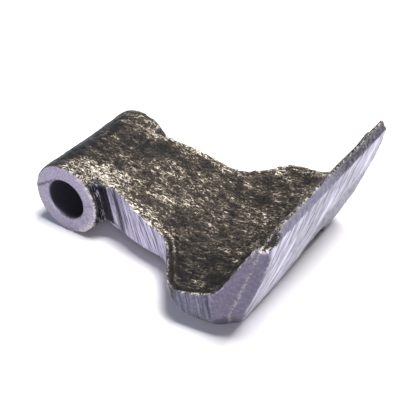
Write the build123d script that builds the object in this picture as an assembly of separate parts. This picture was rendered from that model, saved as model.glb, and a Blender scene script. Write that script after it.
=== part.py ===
from build123d import *
import os

# Forged flail hammer: one drop forging with a plain pivot eye, a neck and a scoop-shaped blade.
# X runs from the eye to the cutting lip, Y along the pivot axis and Z up.
# The origin is on the pivot axis, halfway along the eye. All sizes are in millimetres.

# Pivot eye, for an M20 bolt
EYE_RADIUS = 18.5
EYE_LENGTH = 61.0
EYE_WAIST = 0.5                # how much the eye's radius shrinks at mid-length
EYE_CHAMFER = 0.8
BORE_DIAMETER = 20.5
BORE_CHAMFER = 0.5

# Heights
FLOOR_Z = -EYE_RADIUS          # what the eye and the two feet rest on
NECK_BOTTOM_Z = -15.0
TRIM_BOTTOM_Z = -9.5           # the upright trimmed wall ends here and the lower draft begins
NECK_ROOT_Z = 17.0             # top of the neck over the pivot axis
LIP_Z = 46.5                   # cutting edge

# Plan outline: (x, half width) where the trimmed wall turns, and the radius of each turn
NECK_START = (4.0, 19.0)
NECK_MIDDLE = (42.0, 29.3)
SHOULDER_INNER = (58.5, 31.0)
SHOULDER_OUTER = (76.5, 55.5)
BLADE_FRONT = (128.0, 50.0)
TURN_RADII = [60.0, 13.0, 11.0]
LOWER_DRAFT = 40.0             # degrees that the walls lean inwards under the trimmed wall

# Pad that the trimming die leaves in the corner between the eye and each side of the neck:
# (x, half width) of its lower end's corners
PAD_OUTLINE = [(11.0, 20.0), (11.0, 28.4), (19.2, 28.4), (20.2, 25.8), (26.0, 25.8), (26.0, 20.0)]
PAD_BOTTOM_Z = -7.0
PAD_TOP_Z = 12.8
PAD_LEAN = 12.0                # degrees that the pad leans back over the eye

# Side view: (x, z) of the lip, the ground front face and the foot
LIP_INNER = (121.9, LIP_Z)
LIP_OUTER = (122.9, LIP_Z)
LAND_FOOT = (124.0, 41.5)      # lower edge of the narrow land under the cutting edge
FACE_MIDDLE = (116.5, 14.0)
FACE_FOOT = (103.5, FLOOR_Z)
FOOT_REAR = (86.0, FLOOR_Z)
FOOT_RAMP = (62.0, NECK_BOTTOM_Z)
SCOOP_SAG = 2.5                # how much deeper the scoop is on the middle plane
SLAB_HALF = 58.0

# Front view: (half width, z) where the blade narrows towards the lip
BLADE_FOOT = (58.0, FLOOR_Z)
BLADE_ROOT = (58.0, 0.0)
BLADE_SIDE = (51.8, 20.0)
LIP_SHOULDER = (50.6, 36.0)
LIP_END = (45.0, LIP_Z)

# Ground corners between the front face and the trimmed walls, leaning with the face:
# (distance ahead of the face's middle, half width)
CORNER_LEAN = 18.0             # degrees from upright
CORNER_BACK = (-4.8, 50.9)
CORNER_FRONT = (1.0, 49.2)

# Arch under the lip, which leaves two feet
ARCH_CENTRE = (111.0, 15.0, FLOOR_Z)
ARCH_HALF_WIDTH = 21.0
ARCH_HEIGHT = 15.5
ARCH_SLOPE = 21.0              # degrees that the arch rises towards the lip
ARCH_REACH = 50.0

# Flat that takes off the outer front corner of each foot
FACET_POINT = (101.0, 41.0, FLOOR_Z)
FACET_NORMAL = (0.55, 0.60, -0.58)
FACET_SIZE = 60.0

# Hollow behind and below each side of the blade
HOLLOW_CENTRE = (62.0, 62.0, -26.0)
HOLLOW_RADIUS = 27.0

REACH = 200.0                  # longer than the hammer in any direction


def mirrored_face(half):
    """Face bounded by a half outline and its mirror image across the first axis."""
    whole = half + [(u, -v) for u, v in reversed(half)]
    return make_face(Polyline(*whole, close=True))


def eye():
    """Waisted cylinder along Y with chamfered ends."""
    half = EYE_LENGTH / 2
    rim = EYE_RADIUS - EYE_CHAMFER
    near_corner = (EYE_RADIUS, EYE_CHAMFER - half)
    far_corner = (EYE_RADIUS, half - EYE_CHAMFER)
    outline = Curve() + [
        Polyline(far_corner, (rim, half), (0, half), (0, -half), (rim, -half), near_corner),
        ThreePointArc(near_corner, (EYE_RADIUS - EYE_WAIST, 0), far_corner),
    ]
    return revolve(make_face(outline), axis=Axis.Y)


def bore():
    """Through bore along Y with a small chamfer at each mouth."""
    half = EYE_LENGTH / 2
    radius = BORE_DIAMETER / 2
    mouth = radius + 2 * BORE_CHAMFER
    outline = Polyline(
        (0, -half - BORE_CHAMFER),
        (mouth, -half - BORE_CHAMFER),
        (radius, BORE_CHAMFER - half),
        (radius, half - BORE_CHAMFER),
        (mouth, half + BORE_CHAMFER),
        (0, half + BORE_CHAMFER),
        close=True,
    )
    return revolve(make_face(outline), axis=Axis.Y)


def side_view(y, sag):
    """Side view of neck and blade at one station across the width, with the scoop deepened by sag."""
    top = Spline(
        (0, NECK_ROOT_Z),
        (22, 14.2),
        (44, 7.6 - 0.2 * sag),
        (62, 2.9 - 0.6 * sag),
        (80, 1.2 - sag),
        (97 + 0.6 * sag, 6.4 - 0.8 * sag),
        (106.5 + 0.4 * sag, 20.5 - 0.2 * sag),
        (114, 33.3),
        LIP_INNER,
    )
    outline = Curve() + [
        top,
        Polyline(LIP_INNER, LIP_OUTER, LAND_FOOT),
        ThreePointArc(LAND_FOOT, FACE_MIDDLE, FACE_FOOT),
        Line(FACE_FOOT, FOOT_REAR),
        Spline(FOOT_REAR, FOOT_RAMP, tangents=[(-1, 0), (-1, 0)]),
        Polyline(FOOT_RAMP, (0, NECK_BOTTOM_Z), (0, NECK_ROOT_Z)),
    ]
    return (Plane.XZ.offset(-y) * make_face(outline)).face()


def side_slab():
    """Neck and blade through the full width, with the scoop deepest on the middle plane."""
    stations = [side_view(-SLAB_HALF, 0), side_view(0, SCOOP_SAG), side_view(SLAB_HALF, 0)]
    return Solid.make_loft([station.outer_wire() for station in stations])


def plan_prism():
    """Upright trimmed wall, and below it the walls that lean inwards."""
    half = [NECK_START, NECK_MIDDLE, SHOULDER_INNER, SHOULDER_OUTER, BLADE_FRONT]
    mirrored = [(x, -y) for x, y in half]
    outline = make_face(
        Curve() + [
            FilletPolyline(*half, radius=TURN_RADII),
            Line(half[-1], mirrored[-1]),
            FilletPolyline(*mirrored, radius=TURN_RADII),
            Line(mirrored[0], half[0]),
        ]
    )
    outline = Pos(0, 0, TRIM_BOTTOM_Z) * outline
    wall = extrude(outline, amount=LIP_Z - TRIM_BOTTOM_Z, dir=(0, 0, 1))
    underside = extrude(outline, amount=TRIM_BOTTOM_Z - FLOOR_Z, dir=(0, 0, -1), taper=LOWER_DRAFT)
    return wall + underside


def pads():
    """The two corner pads, from above the lower draft to just below the top of the neck."""
    upwards = Vector(0, 0, 1).rotate(Axis.Y, -PAD_LEAN)
    length = (PAD_TOP_Z - PAD_BOTTOM_Z) / upwards.Z
    pair = []
    for side in (-1, 1):
        outline = make_face(Polyline(*[(x, side * y, PAD_BOTTOM_Z) for x, y in PAD_OUTLINE], close=True))
        pair.append(extrude(outline, amount=length, dir=upwards))
    return pair


def front_prism():
    """Front view of the blade, drawn through the full length."""
    half = [(z, y) for y, z in (BLADE_FOOT, BLADE_ROOT, BLADE_SIDE, LIP_SHOULDER, LIP_END)]
    seen_from_front = Plane(origin=(0, 0, 0), x_dir=(0, 0, 1), z_dir=(1, 0, 0))
    return extrude(seen_from_front * mirrored_face(half), amount=REACH)


def corner_prism():
    """Leaning prism whose clipped corners chamfer the two ends of the front face."""
    half = [(-REACH, REACH), CORNER_BACK, CORNER_FRONT]
    leaning = Pos(FACE_MIDDLE[0], 0, FACE_MIDDLE[1]) * Rot(0, CORNER_LEAN, 0)
    return extrude(leaning * mirrored_face(half), amount=REACH, both=True)


def arch():
    """Tilted elliptical tunnel under the lip."""
    section = Rot(0, -ARCH_SLOPE, 0) * (Plane.YZ * Ellipse(ARCH_HALF_WIDTH, ARCH_HEIGHT))
    return extrude(Pos(*ARCH_CENTRE) * section, amount=ARCH_REACH, both=True)


def facets():
    """Blocks beyond the flats that take off the feet's outer front corners."""
    block = extrude(Plane(FACET_POINT, z_dir=FACET_NORMAL) * Rectangle(FACET_SIZE, FACET_SIZE), FACET_SIZE)
    return [block, mirror(block, Plane.XZ)]


def hollows():
    """Ball-shaped hollows that thin the blade's two rear corners from below."""
    x, y, z = HOLLOW_CENTRE
    return [Pos(x, side * y, z) * Sphere(HOLLOW_RADIUS) for side in (-1, 1)]


def hammer_forging():
    blade = side_slab() & plan_prism() & front_prism() & corner_prism()
    blade -= [arch()] + facets() + hollows()
    return blade + pads() + eye() - bore()


os.makedirs("parts", exist_ok=True)
export_step(hammer_forging(), "parts/hammer_forging.step")
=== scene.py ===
import math

import bpy
import numpy as np
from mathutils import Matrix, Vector
from mathutils.bvhtree import BVHTree
from mathutils.kdtree import KDTree


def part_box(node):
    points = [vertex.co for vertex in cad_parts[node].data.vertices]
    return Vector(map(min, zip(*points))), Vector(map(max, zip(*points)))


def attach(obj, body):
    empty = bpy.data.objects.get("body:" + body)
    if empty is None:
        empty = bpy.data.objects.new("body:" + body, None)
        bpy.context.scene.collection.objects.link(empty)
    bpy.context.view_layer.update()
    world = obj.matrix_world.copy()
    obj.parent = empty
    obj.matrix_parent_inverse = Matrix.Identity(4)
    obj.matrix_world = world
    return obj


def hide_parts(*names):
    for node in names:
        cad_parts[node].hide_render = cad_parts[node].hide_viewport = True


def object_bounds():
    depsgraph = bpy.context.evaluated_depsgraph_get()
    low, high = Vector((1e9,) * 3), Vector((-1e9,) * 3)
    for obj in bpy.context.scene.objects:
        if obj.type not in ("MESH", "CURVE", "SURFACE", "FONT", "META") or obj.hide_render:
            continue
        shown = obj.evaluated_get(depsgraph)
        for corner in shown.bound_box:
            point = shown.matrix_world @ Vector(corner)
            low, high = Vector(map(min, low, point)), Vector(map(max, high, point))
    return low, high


# Forged flail hammer: the CAD forging is remeshed into even quads, sculpted, and coloured by mesh attributes.
# X runs from the eye to the cutting lip, Y along the pivot axis and Z up.
# Blender's own units are metres. The sculpting is worked out in millimetres.

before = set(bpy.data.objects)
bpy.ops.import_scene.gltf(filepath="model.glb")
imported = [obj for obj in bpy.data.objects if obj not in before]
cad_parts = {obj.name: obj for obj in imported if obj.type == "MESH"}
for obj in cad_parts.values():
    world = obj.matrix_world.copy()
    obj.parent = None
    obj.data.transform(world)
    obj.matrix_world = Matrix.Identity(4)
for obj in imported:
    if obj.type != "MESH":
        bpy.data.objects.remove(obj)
cad_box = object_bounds()

MM = 0.001
NODE = "hammer_forging"
VOXEL = 0.00075                # metres

# Sizes in millimetres, as in the CAD
EYE_RADIUS = 18.5
EYE_HALF = 30.5
BORE_RADIUS = 10.25
PAD_BOTTOM_Z = -7.0
FLOOR_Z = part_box(NODE)[0].z / MM
LIP_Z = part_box(NODE)[1].z / MM

# How far the lines on the trimmed walls and ground faces lean, for each millimetre of height
NECK_LEAN = 0.34
WING_LEAN = 0.10
PAD_LEAN = 0.21
GAP_LEAN = 0.28
SCORE_LEAN = 0.42
VALLEY_LEAN = 0.28
RIDGE_LEAN = 0.335
WING_START_X = 66              # the neck's lines end here and the blade's begin

# Single marks: where each crosses z = 0, how strong it is and, for the scores, its half width
TRACKS = [(93.0, 1.0), (95.6, 0.8)]
TRACK_WIDTH = 0.5
TRACK_DEPTH = 0.28
SCORES = [(38.4, 1.0, 0.45), (36.2, 0.7, 0.40), (42.5, 0.6, 0.40)]
RIDGE_X = 106.2
VALLEY_Y = 4.8
NOTCH = (78.4, -54.0)          # x and y of the notch in the near shoulder's rim
CRACK_START = (-15.6, 3.0)     # x and z of the crack in the near end face
CRESCENT = (-45.8, 38.0)       # y and z of the crescent at the lip's near end, painted dark as shade
WORN_SPOTS = [                 # x, y, z, size and strength of each rubbed patch on the forged skin
    (13, -24, 14, 7, 0.90),
    (4, -24, 18, 7, 0.80),
    (22, -19, 14, 8, 0.60),
    (6, 24, 17, 6, 0.35),
    (70, 0, 1, 26, 0.20),
    (35, -8, 10, 16, 0.25),
]


# ---------------------------------------------------------------- noise and small helpers

HASH_FACTORS = (374761393, 668265263, 1440662683, 974634777)
HASH_MIXER = 1274126177
LOW_32_BITS = 0xFFFFFFFF
LOW_16_BITS = 0xFFFF
LATTICE_START = 1000.0         # keeps every lattice position above zero


def lattice(i, j, k, seed):
    """Repeatable random values from -1 to 1 on whole-number positions."""
    h = sum(value * factor for value, factor in zip((i, j, k, seed), HASH_FACTORS)) & LOW_32_BITS
    h = ((h ^ (h >> 13)) * HASH_MIXER) & LOW_32_BITS
    h = ((h ^ (h >> 15)) * HASH_FACTORS[1]) & LOW_32_BITS
    return ((h ^ (h >> 16)) & LOW_16_BITS) / (LOW_16_BITS / 2) - 1.0


def grain(points, cell, seed):
    """Smooth noise from -1 to 1 whose features are about one cell (in millimetres) long."""
    q = points / np.asarray(cell, float) + LATTICE_START
    base = np.floor(q).astype(np.int64)
    f = q - base
    f = f * f * (3 - 2 * f)
    total = np.zeros(len(points))
    for di in (0, 1):
        for dj in (0, 1):
            for dk in (0, 1):
                w = f[:, 0] if di else 1 - f[:, 0]
                w = w * (f[:, 1] if dj else 1 - f[:, 1])
                w = w * (f[:, 2] if dk else 1 - f[:, 2])
                total += w * lattice(base[:, 0] + di, base[:, 1] + dj, base[:, 2] + dk, seed)
    return total


def ramp(value, low, high):
    """0 below low, 1 above high, smooth between; low may be the larger."""
    t = np.clip((value - low) / (high - low), 0, 1)
    return t * t * (3 - 2 * t)


def window(value, start, full, fade, end):
    """1 from full to fade, 0 before start and after end, smooth between."""
    return ramp(value, start, full) * ramp(value, end, fade)


def hump(value, centre, width):
    return np.exp(-((value - centre) / width) ** 2)


# ---------------------------------------------------------------- the forging's mesh

def surface_mesh():
    """The CAD node's mesh remeshed into even quads, so that it can be sculpted."""
    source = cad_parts[NODE].data.copy()
    temp = bpy.data.objects.new("temp", source)
    bpy.context.scene.collection.objects.link(temp)
    weld = temp.modifiers.new("weld", "WELD")
    weld.merge_threshold = 1e-6
    remesh = temp.modifiers.new("remesh", "REMESH")
    remesh.mode = "VOXEL"
    remesh.voxel_size = VOXEL
    depsgraph = bpy.context.evaluated_depsgraph_get()
    made = bpy.data.meshes.new_from_object(temp.evaluated_get(depsgraph))
    bpy.data.objects.remove(temp)
    bpy.data.meshes.remove(source)
    made.name = "forging"
    return made


def positions():
    co = np.empty(len(mesh.vertices) * 3)
    mesh.vertices.foreach_get("co", co)
    return co.reshape(-1, 3) / MM


def vertex_normals():
    n = np.empty(len(mesh.vertices) * 3)
    mesh.vertex_normals.foreach_get("vector", n)
    return n.reshape(-1, 3)


def mesh_edges():
    e = np.empty(len(mesh.edges) * 2, np.int64)
    mesh.edges.foreach_get("vertices", e)
    return e.reshape(-1, 2)


mesh = surface_mesh()
plain = positions()
normals = vertex_normals()
edges = mesh_edges()
valence = np.bincount(edges.ravel(), minlength=len(plain)).astype(float)


def neighbour_mean(values):
    """Mean of each vertex's neighbours."""
    total = np.zeros_like(values)
    np.add.at(total, edges[:, 0], values[edges[:, 1]])
    np.add.at(total, edges[:, 1], values[edges[:, 0]])
    return total / (valence[:, None] if values.ndim == 2 else valence)


def relax(values, mask, times, strength=0.5):
    """Draws values towards their neighbours' mean, where and as much as the mask says."""
    for _ in range(times):
        move = neighbour_mean(values) - values
        values = values + move * (strength * (mask[:, None] if values.ndim == 2 else mask))
    return values


def soften(values, times=1):
    return relax(values, np.ones(len(plain)), times, 1.0)


# ---------------------------------------------------------------- zones and the borders between them

TOP, WALL, DRAFT, GROUND, LAND, CORNER, EYE_FACE, BORE, UNDER = range(9)


def cad_zone(n, c):
    """What made this part of the CAD surface, from its normal and its middle in millimetres."""
    r = math.hypot(c.x, c.z)
    width = abs(c.y)
    at_blade_end = c.x > 98 and width > 40
    if r < BORE_RADIUS + 1.3 and (n.x * c.x + n.z * c.z) < -0.3:
        return BORE
    if r < EYE_RADIUS + 0.1 and width > EYE_HALF - 0.1 and abs(n.y) > 0.95:
        return EYE_FACE
    if r < EYE_RADIUS + 0.02 and width < EYE_HALF:
        return TOP
    if n.x > 0.6 and c.x > 100:
        upright = n.x > 0.95 and abs(n.y) < 0.1 and n.z > -0.31
        return LAND if upright and c.x > 122 and c.z > 41 else GROUND
    if at_blade_end and n.x > 0.12 and abs(n.y) > 0.4 and n.z > -0.4:
        return CORNER
    if at_blade_end and c.z < 12 and -0.9 < n.z < 0.5:
        return CORNER
    if width > 40 and abs(n.z) < 0.45 and abs(n.y) > 0.6:
        return WALL
    if width > 18 and c.x < 90 and abs(n.z) < 0.25 and n.x > -0.99:
        return WALL
    if n.z < -0.25:
        return DRAFT if width > 18 and c.z < -4 and math.hypot(n.x, n.y) > 0.5 else UNDER
    return TOP


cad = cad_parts[NODE].data
cad_zones = [cad_zone(p.normal, p.center / MM) for p in cad.polygons]


def nearest_zones():
    """Each vertex's zone, from the nearest CAD facet."""
    tree = BVHTree.FromPolygons([v.co for v in cad.vertices], [tuple(p.vertices) for p in cad.polygons])
    found = np.array([cad_zones[tree.find_nearest(Vector(point) * MM)[2]] for point in plain])
    # the walls' upper edge over the pads belongs to the forged top
    above_pad = (plain[:, 0] < 27.5) & (plain[:, 2] > 12.2) & (np.abs(plain[:, 1]) < 26.2)
    found[(found == WALL) & above_pad] = TOP
    return found


def facets_by_edge():
    """CAD facets on each edge, whose ends are whole micrometres so that unwelded corners agree."""
    micrometres = [tuple(round(value * 1e6) for value in v.co) for v in cad.vertices]
    owners = {}
    for index, polygon in enumerate(cad.polygons):
        corners = list(polygon.vertices)
        for a, b in zip(corners, corners[1:] + corners[:1]):
            owners.setdefault(frozenset((micrometres[a], micrometres[b])), []).append(index)
    return owners


zone = nearest_zones()
edge_owners = facets_by_edge()


def border(first, second):
    """Distance in millimetres from every vertex to the line where two groups of zones meet."""
    spacing = 0.4
    points = []
    for ends, owners in edge_owners.items():
        if len(owners) != 2 or len(ends) != 2:
            continue
        za, zb = cad_zones[owners[0]], cad_zones[owners[1]]
        if (za in first and zb in second) or (zb in first and za in second):
            a, b = (np.array(end) / 1000.0 for end in ends)
            steps = max(1, int(np.linalg.norm(b - a) / spacing))
            points += [a + (b - a) * t / steps for t in range(steps + 1)]
    kd = KDTree(len(points))
    for i, point in enumerate(points):
        kd.insert(point, i)
    kd.balance()
    return np.array([kd.find(point)[2] for point in plain])


def in_zones(*names):
    """1 for vertices in one of the zones, 0 for the others."""
    return np.isin(zone, names).astype(float)


rim = border({TOP}, {WALL, DRAFT})
lip = border({TOP}, {LAND})
lip_end = border({TOP}, {WALL, CORNER})
face_edge = border({EYE_FACE}, {TOP, WALL})

is_top = in_zones(TOP)
is_wall = in_zones(WALL, DRAFT)
is_ground = in_zones(GROUND, CORNER)
is_land = in_zones(LAND)
is_face = in_zones(EYE_FACE)
is_under = in_zones(UNDER)


# ---------------------------------------------------------------- where each feature lies

x, y, z = plain.T
facing_x = normals[:, 0]
facing_z = normals[:, 2]
width = np.abs(y)
radius = np.hypot(x, z)
near_side = y < 0
wall_x = np.where(x < WING_START_X, x + NECK_LEAN * z, x + WING_LEAN * z)
pad_x = x + PAD_LEAN * (z - PAD_BOTTOM_Z)
valley_y = y - VALLEY_LEAN * z


def pad_masks():
    """The torn faces of the pads beside the eye, and the smooth strip at each pad's front end."""
    height = window(z, -10.0, -8.0, 12.6, 13.6)
    barrel = ramp(radius, 17.3, 18.0) * ramp(x, 8, 10) * (x < 28)
    barrel = barrel * window(width, 25.4, 25.9, 29.8, 30.1) * ramp(facing_x, 0.35, 0.6)
    flank = hump(width, 25.8, 0.6) * ramp(x, 14.0, 15.0) * ramp(pad_x, 25.5, 25.1) * ramp(z, -7.4, -7.0)
    shelf = hump(z, 12.8, 0.4) * ramp(facing_z, 0.6, 0.9) * ramp(x, 22.5, 20.5) * ramp(width, 21.5, 22.5)
    front = ramp(pad_x, 24.9, 25.3) * ramp(facing_x, 0.4, 0.7) * ramp(width, 23.2, 23.8) * ramp(x, 28, 27)
    return np.clip(barrel + flank + shelf, 0, 1) * height, front * height


torn, strip = pad_masks()
gap = hump(x + GAP_LEAN * (z - 6.5), 25.3, 2.2) * is_wall * ramp(width, 24.0, 24.6) * ramp(x, 33, 31)
scores = sum(depth * hump(x + SCORE_LEAN * z, place, half) for place, depth, half in SCORES)
scores = scores * is_wall * window(x, 27, 29, 48, 52)
tracks = sum(depth * hump(wall_x, place, TRACK_WIDTH) for place, depth in TRACKS)
tracks = tracks * is_wall * ramp(z, -10, -6)
band = ramp(valley_y, 4.5, 6.5) * ramp(z - 0.10 * y, 19.0, 12.0) * is_ground
valley = hump(valley_y, VALLEY_Y, 1.6) * ramp(z, 21.0, 14.0) * is_ground
ridge = hump(x - RIDGE_X - RIDGE_LEAN * z, 0.0, 0.55) * (width > 45) * (x > 101) * (zone != GROUND)
shoulder = window(x, 50, 58, 82, 90) * np.where(near_side, 1.0, 0.35)
notch = hump(x, NOTCH[0], 1.6) * hump(y, NOTCH[1], 2.2)
crack_z = CRACK_START[1] + (x - CRACK_START[0]) * 0.62 + 0.25 * np.sin(x * 2.1)
crack = hump(z, crack_z, 0.45) * is_face * (x < -5.0) * near_side
crescent = hump(y - CRESCENT[0] + 0.10 * (z - CRESCENT[1]), 0.0, 1.0) * ramp(z, 33, 36) * ramp(x, 117, 119)


# ---------------------------------------------------------------- sculpting, in this order

def rounded():
    """The feet's edges worn round, and the neck flowing into the eye."""
    feet = ramp(z, -8, -13) * ramp(x, 80, 86) * (np.abs(facing_z) < 0.97)
    joint = window(x, 3, 7, 16, 22) * ramp(z, 9, 12) * ramp(width, 27, 23) * is_top
    return relax(relax(plain, feet, 14), joint, 30)


def skin_relief(points):
    """As-forged skin: broad waves, grain drawn out along X, and pits."""
    waves = 0.30 * grain(points, (11, 8, 9), 1) + 0.16 * grain(points, (5, 3.6, 4), 2)
    flow = 0.13 * grain(points, (5.5, 1.7, 2.4), 3) + 0.10 * grain(points, (2.6, 1.5, 1.8), 4)
    pits = -0.28 * ramp(grain(points, (2.8, 1.9, 2.2), 5), 0.45, 0.8)
    relief = (waves + flow + pits) * np.maximum(is_top, 0.6 * is_under)
    relief = relief * ramp(lip, 0.5, 3.0) * ramp(face_edge, 0.3, 3)
    # bumps fade out where they would stand out of the CAD's box
    clear = ramp(np.abs(x + EYE_RADIUS), 0.0, 3.0) * ramp(np.abs(z - FLOOR_Z), 0.0, 1.5)
    return np.where(relief > 0, relief * clear, relief)


def wall_relief():
    """Shallow ribs that run down the sheared walls, two deeper tracks, scores and the gap by the pad."""
    ribs = np.stack([wall_x, 0.3 * width, 0.05 * z], 1)
    shear = (0.04 * grain(ribs, (1.7, 30, 30), 7) + 0.05 * grain(ribs, (4.5, 30, 30), 8)) * is_wall
    return shear - TRACK_DEPTH * tracks - 0.25 * scores - 0.5 * gap


def pad_relief():
    """Grooves that run down the torn faces."""
    grooves = np.stack([pad_x, y, 0.1 * z], 1)
    return torn * (-0.45 + 0.4 * grain(grooves, (0.9, 0.9, 3.0), 19))


def ground_relief(points):
    """Grinding waves, the lower band over the far foot, the valley beside it and the corners' ridge."""
    waves = np.stack([np.zeros_like(x), y * 0.97 - z * 0.2, y * 0.01 + z * 0.04], 1)
    relief = 0.06 * grain(waves, (9, 1.6, 9), 9) * (is_ground + is_land)
    relief = relief - band * (0.45 + 0.18 * grain(points, (2.4, 2.2, 2.6), 18)) - 0.9 * valley
    return relief + 0.30 * ridge


def sculpt_rim(points):
    """A thin burr, a channel and a second ridge, strongest round the near shoulder."""
    upper = is_top * ramp(facing_z, 0.2, 0.6) * (x < 100) * ramp(x, 20, 26)
    ragged = 0.6 + 0.4 * grain(points, (3.0, 3.0, 3.0), 11)
    bead = 0.70 * hump(rim, 0.3, 0.6) - 1.0 * hump(rim, 1.95, 0.9) + 0.60 * hump(rim, 3.8, 0.8)
    points[:, 2] += bead * shoulder * upper * ragged
    burr = 0.45 * hump(rim, 0.2, 0.8) * grain(points, (2.2, 2.2, 9), 12)
    points[:, 2] += burr * upper * (1 - shoulder)
    points[:, 2] += 0.5 * hump(rim, 0.0, 1.1) * grain(points, (4.0, 4.0, 30), 13) * (x > 24) * (x < 101)


def sculpt_lip(points):
    """Nicks in the cutting edge, the notch in the near shoulder's rim, and lumps at the ends of the lip."""
    nicks = 0.35 * ramp(grain(points, (9, 2.4, 9), 14), 0.0, 0.8)
    nicks = nicks + 0.25 * ramp(grain(points, (9, 1.3, 9), 15), 0.1, 0.8)
    points[:, 2] -= nicks * hump(lip, 0, 1.4) * ramp(LIP_Z - z, 3.0, 0.5)
    points[:, 2] -= 1.3 * notch * ramp(z, -4, -1)
    lumps = 0.9 * ramp(grain(points, (3.0, 2.6, 2.8), 16), -0.2, 0.6)
    lumps = lumps * hump(lip_end, 0.5, 1.6) * ramp(z, 26, 33)
    points[:, 0] -= lumps * 0.8
    points[:, 2] += np.where(z > LIP_Z - 3, 0, 0.4) * lumps


def sculpt_eye_face(points):
    """Chips along the end faces' upper edge, and the crack in the near one."""
    chips = 0.7 * ramp(grain(points, (2.2, 2.2, 2.2), 17), 0.1, 0.7) * hump(face_edge, 0, 1.1) * ramp(z, 2, 8)
    points[:, 1] -= np.where(near_side, -1.0, 1.0) * chips * ramp(radius, 14, 15.5)
    points[:, 1] += 0.45 * crack


def inside_box(points):
    """Nothing may leave the CAD's box."""
    margin = 0.001
    low, high = (np.array(corner) / MM for corner in cad_box)
    return np.clip(points, low + margin, high - margin)


shaped = rounded()
relief = skin_relief(shaped) + wall_relief() + pad_relief() + ground_relief(shaped)
shaped = shaped + normals * relief[:, None]
sculpt_rim(shaped)
sculpt_lip(shaped)
sculpt_eye_face(shaped)
shaped = inside_box(shaped)
mesh.vertices.foreach_set("co", (shaped * MM).ravel())
mesh.update()


# ---------------------------------------------------------------- attributes for the material

def attribute(name, values):
    layer = mesh.attributes.new(name, "FLOAT", "POINT")
    layer.data.foreach_set("value", np.clip(values, 0, 1).astype(np.float32))


def blob(cx, cy, cz, size):
    """Soft spot round a point of the object."""
    return np.exp(-((x - cx) ** 2 + (y - cy) ** 2 + (z - cz) ** 2) / size ** 2)


def worn_skin():
    """Where the scale is rubbed off: the near rim, the joint of neck and eye, and the scoop's middle."""
    worn = hump(rim, 1.0, 4.5) * window(x, 6, 20, 50, 66)
    for *centre, size, strength in WORN_SPOTS:
        worn = worn + strength * blob(*centre, size)
    return (worn + 0.7 * hump(rim, 2.0, 3.0) * ramp(x, 60, 70) * (y > 0)) * is_top


def darker_skin_and_shade():
    """Where the skin is painted darker: painted shade behind the lip, in the rim's channel and inside the
    near wing, and a darker skin behind the eye.
    """
    dark_skin_and_shade = 1.1 * ramp(x, 92, 106) * ramp(z, -1, 8) + 0.8 * hump(rim, 1.95, 0.9) * shoulder * near_side
    return dark_skin_and_shade + 0.6 * blob(84, -34, 0, 18) + 0.8 * ramp(x, 3, -6) * ramp(radius, 17.0, 18.0)


def black_marks_and_shade():
    """Black along the crack, the scores, the tracks and the notch, and painted shade in the gap by the pad,
    the crescent, the valley and along the barrel's edge over the end faces.
    """
    # painted shade along the barrel's upper edge over the end faces
    barrel_edge_shade = hump(face_edge, 2.2, 1.8) * ramp(grain(shaped, (2.6, 2.6, 2.6), 20), -0.5, 0.4)
    barrel_edge_shade = barrel_edge_shade * ramp(z, 3, 8) * window(x, -14, -8, 14, 18) * is_top
    # the gap, the crescent and the valley are painted shade
    marks = crack + 0.95 * gap + 0.6 * crescent + 0.85 * barrel_edge_shade
    return marks + 0.45 * scores + 0.9 * valley + 0.9 * notch + 0.6 * tracks


def burr_and_edge_highlight():
    """Thin bare burr along the rim and the cutting edge, partly painted edge highlight, and painted
    highlights along the corners' ridge and round the end faces' edges.
    """
    burr = hump(rim, 0.2, 0.7) * is_top + hump(lip, 0, 0.8) + hump(lip_end, 0.3, 1.0) * ramp(z, 26, 33)
    burr = burr + 0.8 * hump(face_edge, 0.3, 0.7) * ramp(x, 6, 10) + 0.5 * ridge
    return burr + hump(face_edge, 0.9, 1.3) * ramp(x, 3, 9) * ramp(z, -2, -7)


def standing_out():
    """How far each vertex stands above its surroundings: 0.5 where level."""
    return 0.5 + 2.2 * np.einsum("ij,ij->i", shaped - soften(shaped, 4), vertex_normals())


blade_end_wall = (zone == WALL) * ramp(x, 95.5, 98.5)
attribute("forged", soften(np.maximum(is_top, is_under)))
attribute("ground", soften(is_ground + 0.5 * is_land))
attribute("land", soften(is_land))
attribute("corner", soften(np.maximum(in_zones(CORNER), blade_end_wall)))
attribute("endface", soften(is_face))
attribute("bore", soften(in_zones(BORE)))
attribute("torn", soften(torn))
attribute("strip", strip)
attribute("band", band)
attribute("neck", ramp(x, 66, 58))
attribute("pitted", ramp(y, -9, 12))
attribute("worn", worn_skin())
# painted shade behind the lip, in the rim's channel and inside the near wing, and darker skin behind the eye
attribute("dark_skin_and_shade", darker_skin_and_shade())
attribute("bulge", standing_out())
attribute("black_and_shade", black_marks_and_shade())
# bare burr, and painted highlights on the ridge and the end faces' edges
attribute("burr", burr_and_edge_highlight())


# ---------------------------------------------------------------- colours

SCALE_DARK = (0.0040, 0.0032, 0.0028)
SCALE_BROWN = (0.025, 0.0185, 0.0135)
# Colours of the bare crests: the dull one is bare metal, the bright one is a painted glint
CREST_DULL = (0.185, 0.148, 0.110)
CREST_GLINT = (0.820, 0.750, 0.610)
RUST = (0.040, 0.025, 0.015)

NECK_LINE = (0.090, 0.084, 0.120)
NECK_STEEL = (0.390, 0.363, 0.465)
WING_LINE = (0.045, 0.051, 0.073)
WING_STEEL = (0.120, 0.111, 0.150)
WALL_SHADE = (0.040, 0.038, 0.052)
WALL_SCRATCH = (0.018, 0.017, 0.024)
WALL_MOTTLE = (0.240, 0.225, 0.280)

STRIP_DARK = (0.240, 0.225, 0.300)
STRIP_PALE = (0.400, 0.380, 0.480)
# black for the crack and marks, and painted shade in the gap, the crescent, the valley and on the torn pads
BLACK_AND_SHADE = (0.006, 0.0055, 0.008)
TORN_EDGE = (0.200, 0.190, 0.235)

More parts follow.
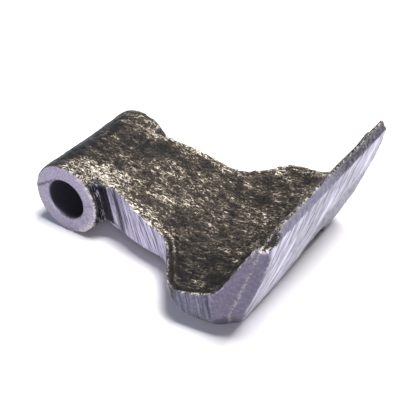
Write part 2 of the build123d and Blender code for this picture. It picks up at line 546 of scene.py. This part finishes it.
GRIND_DARK = (0.125, 0.120, 0.160)
GRIND_PALE = (0.500, 0.490, 0.590)
GRIND_SHADE = (0.075, 0.072, 0.096)
GRIND_GLINT = (0.740, 0.740, 0.820)
GRIND_SCORE = (0.060, 0.058, 0.076)
BAND_DARK = (0.055, 0.053, 0.070)
BAND_PALE = (0.300, 0.293, 0.355)
CORNER_DARK = (0.075, 0.069, 0.098)
CORNER_PALE = (0.128, 0.117, 0.160)
LAND_DARK = (0.120, 0.117, 0.168)
LAND_PALE = (0.225, 0.222, 0.300)
LAND_PIT = (0.020, 0.017, 0.018)

END_DARK = (0.155, 0.143, 0.190)
END_PALE = (0.270, 0.252, 0.318)
END_STAIN = (0.075, 0.058, 0.048)
BURR_AND_HIGHLIGHT = (0.500, 0.460, 0.390)
BORE_STEEL = (0.085, 0.082, 0.105)

PAPER_SHADE = (0.600, 0.595, 0.630)
PAPER_PALE = (0.620, 0.615, 0.645)


# ---------------------------------------------------------------- materials

class Nodes:
    """Short way to wire shader nodes."""

    def __init__(self, name):
        self.material = bpy.data.materials.new(name)
        self.material.use_nodes = True
        self.tree = self.material.node_tree
        self.shader = self.tree.nodes["Principled BSDF"]
        coordinates = self.tree.nodes.new("ShaderNodeTexCoord")
        self.object = coordinates.outputs["Object"]

    def put(self, socket, value):
        if isinstance(value, bpy.types.NodeSocket):
            self.tree.links.new(value, socket)
        else:
            socket.default_value = value

    def read(self, name):
        node = self.tree.nodes.new("ShaderNodeAttribute")
        node.attribute_name = name
        return node.outputs["Fac"]

    def stretch(self, scale=(1, 1, 1), turn=(0, 0, 0)):
        """Coordinates that draw a texture out by the scale along the turned axes."""
        node = self.tree.nodes.new("ShaderNodeMapping")
        node.vector_type = "TEXTURE"
        self.put(node.inputs["Vector"], self.object)
        node.inputs["Scale"].default_value = scale
        node.inputs["Rotation"].default_value = [math.radians(a) for a in turn]
        return node.outputs["Vector"]

    def noise(self, vector, size, detail=3.0, rough=0.6, warp=0.0):
        """Noise from 0 to 1 whose features are about size millimetres."""
        node = self.tree.nodes.new("ShaderNodeTexNoise")
        self.put(node.inputs["Vector"], vector)
        node.inputs["Scale"].default_value = 1.0 / (size * MM)
        node.inputs["Detail"].default_value = detail
        node.inputs["Roughness"].default_value = rough
        node.inputs["Distortion"].default_value = warp
        return node.outputs["Fac"]

    def step(self, value, low, high):
        """0 at low, 1 at high, smooth between; low may be the larger."""
        node = self.tree.nodes.new("ShaderNodeMapRange")
        node.interpolation_type = "SMOOTHSTEP"
        self.put(node.inputs["Value"], value)
        node.inputs["From Min"].default_value = low
        node.inputs["From Max"].default_value = high
        return node.outputs["Result"]

    def math(self, operation, a, b=0.0, clamp=False):
        node = self.tree.nodes.new("ShaderNodeMath")
        node.operation = operation
        node.use_clamp = clamp
        self.put(node.inputs[0], a)
        self.put(node.inputs[1], b)
        return node.outputs[0]

    def plus(self, a, b, clamp=False):
        return self.math("ADD", a, b, clamp)

    def minus(self, a, b, clamp=False):
        return self.math("SUBTRACT", a, b, clamp)

    def times(self, a, b, clamp=False):
        return self.math("MULTIPLY", a, b, clamp)

    def swing(self, value, amount):
        """How far a value from 0 to 1 lies from its middle, times the amount."""
        return self.times(self.minus(value, 0.5), amount)

    def crest(self, value, half_width):
        """Thin lines where a noise crosses its middle value."""
        return self.step(self.math("ABSOLUTE", self.minus(value, 0.5)), half_width, 0.0)

    def mix(self, amount, a, b):
        node = self.tree.nodes.new("ShaderNodeMix")
        node.data_type = "RGBA"
        self.put(node.inputs["Factor"], amount)
        for socket, value in ((node.inputs[6], a), (node.inputs[7], b)):
            self.put(socket, (*value, 1.0) if isinstance(value, tuple) else value)
        return node.outputs[2]

    def bump(self, height, distance, under=None):
        """Normal for a height whose full range is the distance, in millimetres."""
        node = self.tree.nodes.new("ShaderNodeBump")
        self.put(node.inputs["Height"], height)
        node.inputs["Distance"].default_value = distance * MM
        node.inputs["Strength"].default_value = 1.0
        if under is not None:
            self.put(node.inputs["Normal"], under)
        return node.outputs["Normal"]


class Steel(Nodes):
    """The forging's one material. The mesh's attributes say where each kind of surface is."""

    def __init__(self, name):
        super().__init__(name)
        self.crumbs = self.noise(self.object, 1.3, 3.0, 0.7, 0.8)
        self.patches = self.noise(self.stretch((1.5, 1.0, 1.0)), 4.2, 3.0, 0.6, 0.5)
        self.mottle = self.noise(self.object, 1.6, 4.0, 0.65)
        self.lines = self.noise(self.stretch((1.0, 4.0, 22.0), (0, -21, 0)), 0.85, 2.0, 0.6)
        self.crests = self.bare_crests()
        self.level = self.bare_level()

    def bare_crests(self):
        """Thin curved crests of bare metal, drawn out along X; their pale colour is partly a painted glint.
        """
        long = self.noise(self.stretch((3.2, 1.0, 1.4), (0, 0, 10)), 1.8, 1.0, 0.5, 0.5)
        short = self.noise(self.stretch((2.2, 1.0, 1.2), (0, 0, -6)), 1.3, 1.0, 0.5, 0.3)
        return self.plus(self.crest(long, 0.038), self.times(self.crest(short, 0.042), 0.8), True)

    def bare_level(self):
        """How far the scale is worn away, and so where the painted glints show: low where the skin is painted
        darker, high where the crests shine.
        """
        broad = self.noise(self.object, 16.0, 2.0)
        level = self.plus(self.times(self.patches, 0.6), self.times(self.read("worn"), 0.24))
        level = self.plus(level, self.swing(self.read("bulge"), 0.35))
        level = self.plus(level, self.swing(broad, 0.6))
        level = self.plus(level, self.swing(self.crumbs, 0.5))
        return self.minus(self.plus(level, 0.13), self.times(self.read("dark_skin_and_shade"), 0.17))

    def forged_mask(self):
        """The forged skin, with a ragged border to the cut surfaces."""
        fray = self.noise(self.object, 1.1, 2.0)
        return self.step(self.plus(self.read("forged"), self.swing(fray, 0.7)), 0.40, 0.60)

    def skin(self):
        """Brown-black scale with crests of bare metal in patches, the brightest painted as glints, and a
        little rust.
        """
        tone = self.plus(self.times(self.crumbs, 0.7), self.times(self.level, 0.5))
        colour = self.mix(self.step(tone, 0.50, 0.76), SCALE_DARK, SCALE_BROWN)
        colour = self.mix(self.times(self.crests, self.step(self.level, 0.32, 0.56)), colour, CREST_DULL)
        # painted glints on the crests where the scale is worn thin
        colour = self.mix(self.times(self.crests, self.step(self.level, 0.50, 0.70)), colour, CREST_GLINT)
        colour = self.mix(self.step(self.level, 0.85, 1.15), colour, CREST_DULL)
        rust = self.step(self.noise(self.object, 6.0, 3.0), 0.56, 0.72)
        return self.mix(self.times(rust, 0.35), colour, RUST)

    def wall(self):
        """Sheared and drafted walls: lavender-grey steel with lines that run down the wall."""
        neck = self.read("neck")
        wing_lines = self.noise(self.stretch((1.0, 4.0, 22.0), (0, -10, 0)), 1.0, 2.0, 0.6)
        wide_lines = self.noise(self.stretch((1.0, 4.0, 26.0), (0, -21, 0)), 3.2, 2.0)
        scratches = self.crest(self.noise(self.stretch((1.0, 4.0, 26.0), (0, -21, 0)), 3.0, 1.0), 0.022)
        wing_colour = self.mix(self.step(wing_lines, 0.36, 0.62), WING_LINE, WING_STEEL)
        neck_colour = self.mix(self.step(self.lines, 0.36, 0.54), NECK_LINE, NECK_STEEL)
        colour = self.mix(neck, wing_colour, neck_colour)
        colour = self.mix(self.times(self.step(wide_lines, 0.44, 0.34), 0.20), colour, WALL_SHADE)
        scratched = self.times(scratches, self.plus(self.times(neck, 0.5), 0.2))
        colour = self.mix(scratched, colour, WALL_SCRATCH)
        return self.mix(self.times(self.step(self.mottle, 0.50, 0.75), 0.45), colour, WALL_MOTTLE)

    def pad_strip(self):
        return self.mix(self.step(self.mottle, 0.35, 0.75), STRIP_DARK, STRIP_PALE)

    def shaded_pad_grooves(self):
        """Torn steel painted black as shade, with thin pale lines down it."""
        thin = self.crest(self.noise(self.stretch((1.0, 1.0, 24.0), (0, -14, 0)), 2.2, 1.0), 0.035)
        return self.mix(self.times(thin, self.step(self.mottle, 0.40, 0.56)), BLACK_AND_SHADE, TORN_EDGE)

    def ground(self):
        """Bright front face with steep grinding streaks, and a mottled band over the far foot."""
        streaks = self.noise(self.stretch((3.0, 1.0, 9.0), (-12, 19, 0)), 1.3, 3.0, 0.65, 0.25)
        wide_streaks = self.noise(self.stretch((3.0, 1.0, 9.0), (-14, 19, 0)), 3.6, 2.0)
        scores = self.noise(self.stretch((3.0, 1.0, 7.0), (-12, 19, 0)), 2.3, 1.0, 0.5, 0.3)
        colour = self.mix(self.step(streaks, 0.36, 0.62), GRIND_DARK, GRIND_PALE)
        colour = self.mix(self.times(self.step(wide_streaks, 0.46, 0.34), 0.7), colour, GRIND_SHADE)
        colour = self.mix(self.times(self.step(wide_streaks, 0.54, 0.68), 0.6), colour, GRIND_GLINT)
        scored = self.times(self.crest(scores, 0.022), self.step(self.mottle, 0.48, 0.64))
        colour = self.mix(scored, colour, GRIND_SCORE)
        speckled = self.mix(self.step(self.mottle, 0.36, 0.66), BAND_DARK, BAND_PALE)
        return self.mix(self.read("band"), colour, speckled)

    def corner(self):
        return self.mix(self.step(self.mottle, 0.30, 0.80), CORNER_DARK, CORNER_PALE)

    def land(self):
        """Narrow land under the cutting edge, pitted towards its far end."""
        colour = self.mix(self.step(self.mottle, 0.35, 0.80), LAND_DARK, LAND_PALE)
        return self.mix(self.times(self.read("pitted"), self.step(self.crumbs, 0.38, 0.52)), colour, LAND_PIT)

    def land_mask(self):
        fray = self.noise(self.stretch((1, 1, 3.0)), 2.6, 3.0)
        return self.step(self.plus(self.read("land"), self.swing(fray, 1.6)), 0.35, 0.65)

    def end_face(self):
        """Cut end of the eye: finely speckled, with a few stains."""
        speckle = self.noise(self.object, 0.8, 4.0, 0.7)
        stains = self.step(self.noise(self.object, 5.0, 3.0), 0.56, 0.70)
        colour = self.mix(self.step(speckle, 0.36, 0.64), END_DARK, END_PALE)
        return self.mix(self.times(stains, 0.5), colour, END_STAIN)


def forged_steel():
    m = Steel("forged_steel")
    forged = m.forged_mask()
    colour = m.mix(m.read("ground"), m.wall(), m.ground())
    colour = m.mix(m.read("corner"), colour, m.corner())
    colour = m.mix(m.land_mask(), colour, m.land())
    colour = m.mix(forged, colour, m.skin())
    colour = m.mix(m.read("endface"), colour, m.end_face())
    # bare burr and painted edge highlights
    colour = m.mix(m.times(m.read("burr"), m.step(m.crumbs, 0.46, 0.60)), colour, BURR_AND_HIGHLIGHT)
    colour = m.mix(m.read("strip"), colour, m.pad_strip())
    # torn pads painted black as shade
    colour = m.mix(m.read("torn"), colour, m.shaded_pad_grooves())
    # black marks and painted shade
    colour = m.mix(m.times(m.read("black_and_shade"), 0.95, True), colour, BLACK_AND_SHADE)
    colour = m.mix(m.read("bore"), colour, BORE_STEEL)
    m.put(m.shader.inputs["Base Color"], colour)

    bare = m.minus(1.0, forged, True)
    glint = m.times(m.times(m.crests, m.step(m.level, 0.52, 0.76)), forged)
    m.put(m.shader.inputs["Metallic"], m.plus(m.times(bare, 0.65), m.times(glint, 0.7)))
    m.put(m.shader.inputs["Roughness"], m.plus(0.36, m.times(m.crumbs, 0.22)))
    m.shader.inputs["Specular IOR Level"].default_value = 0.25

    skin_height = m.times(m.plus(m.times(m.crests, 0.45), m.plus(m.crumbs, m.patches)), forged)
    cut_height = m.times(m.plus(m.lines, m.mottle), bare)
    m.put(m.shader.inputs["Normal"], m.bump(cut_height, 0.10, m.bump(skin_height, 0.55)))
    return m.material


def pale_floor():
    m = Nodes("floor_paper")
    m.put(m.shader.inputs["Base Color"], m.mix(m.noise(m.object, 60.0, 2.0), PAPER_SHADE, PAPER_PALE))
    m.shader.inputs["Roughness"].default_value = 0.9
    m.shader.inputs["Specular IOR Level"].default_value = 0.0
    return m.material


mesh.materials.clear()
mesh.materials.append(forged_steel())
mesh.polygons.foreach_set("use_smooth", np.ones(len(mesh.polygons), bool))
forging = bpy.data.objects.new("forging", mesh)
bpy.context.scene.collection.objects.link(forging)
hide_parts(NODE)
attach(forging, "root")


# ---------------------------------------------------------------- floor, light and camera, in metres

FLOOR_HALF = 9.0
SKY_COLOUR = (0.93, 0.93, 1.0)
SKY_STRENGTH = 0.21
BACKDROP = (0.90, 0.90, 0.92)
CAMERA_PLACE = (0.2490, -0.2853, 0.2568)
CAMERA_TURN = (53.209, 0, 33.452)      # degrees
LENS_LENGTH = 79.45                    # millimetres, on a sensor as wide as SENSOR_WIDTH
SENSOR_WIDTH = 36


def floor():
    half, level = FLOOR_HALF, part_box(NODE)[0].z
    plane = bpy.data.meshes.new("floor")
    corners = [(-half, -half, level), (half, -half, level), (half, half, level), (-half, half, level)]
    plane.from_pydata(corners, [], [(0, 1, 2, 3)])
    plane.materials.append(pale_floor())
    made = bpy.data.objects.new("floor", plane)
    bpy.context.scene.collection.objects.link(made)


def softbox(name, place, target, size, power, colour):
    lamp = bpy.data.lights.new(name, "AREA")
    lamp.shape = "RECTANGLE"
    lamp.size, lamp.size_y = size
    lamp.energy = power
    lamp.color = colour
    made = bpy.data.objects.new(name, lamp)
    made.location = place
    made.rotation_euler = (Vector(target) - Vector(place)).to_track_quat("-Z", "Y").to_euler()
    bpy.context.scene.collection.objects.link(made)


def sky():
    """Weak even light, with an empty backdrop that looks paler than the light it gives."""
    world = bpy.data.worlds.new("sky")
    world.use_nodes = True
    tree = world.node_tree
    light = tree.nodes["Background"]
    light.inputs["Color"].default_value = (*SKY_COLOUR, 1)
    light.inputs["Strength"].default_value = SKY_STRENGTH
    backdrop = tree.nodes.new("ShaderNodeBackground")
    backdrop.inputs["Color"].default_value = (*BACKDROP, 1)
    path = tree.nodes.new("ShaderNodeLightPath")
    blend = tree.nodes.new("ShaderNodeMixShader")
    tree.links.new(path.outputs["Is Camera Ray"], blend.inputs[0])
    tree.links.new(light.outputs[0], blend.inputs[1])
    tree.links.new(backdrop.outputs[0], blend.inputs[2])
    tree.links.new(blend.outputs[0], tree.nodes["World Output"].inputs["Surface"])
    bpy.context.scene.world = world


def camera():
    lens = bpy.data.cameras.new("camera")
    lens.lens = LENS_LENGTH
    lens.sensor_width = SENSOR_WIDTH
    made = bpy.data.objects.new("camera", lens)
    made.location = CAMERA_PLACE
    made.rotation_euler = [math.radians(a) for a in CAMERA_TURN]
    bpy.context.scene.collection.objects.link(made)
    bpy.context.scene.camera = made


floor()
sky()
softbox("key", (0.89, 0.28, 3.44), (0.05, 0, 0), (1.60, 1.60), 330.0, (1.0, 0.985, 0.965))
softbox("fill", (0.12, -0.74, 0.10), (0.04, 0, 0), (0.40, 0.16), 5.2, (0.93, 0.90, 1.0))
softbox("rim", (-0.55, 0.10, 0.22), (0.0, 0, 0), (0.25, 0.25), 0.8, (0.25, 0.55, 1.0))
camera()
bpy.context.scene.view_settings.view_transform = "Standard"
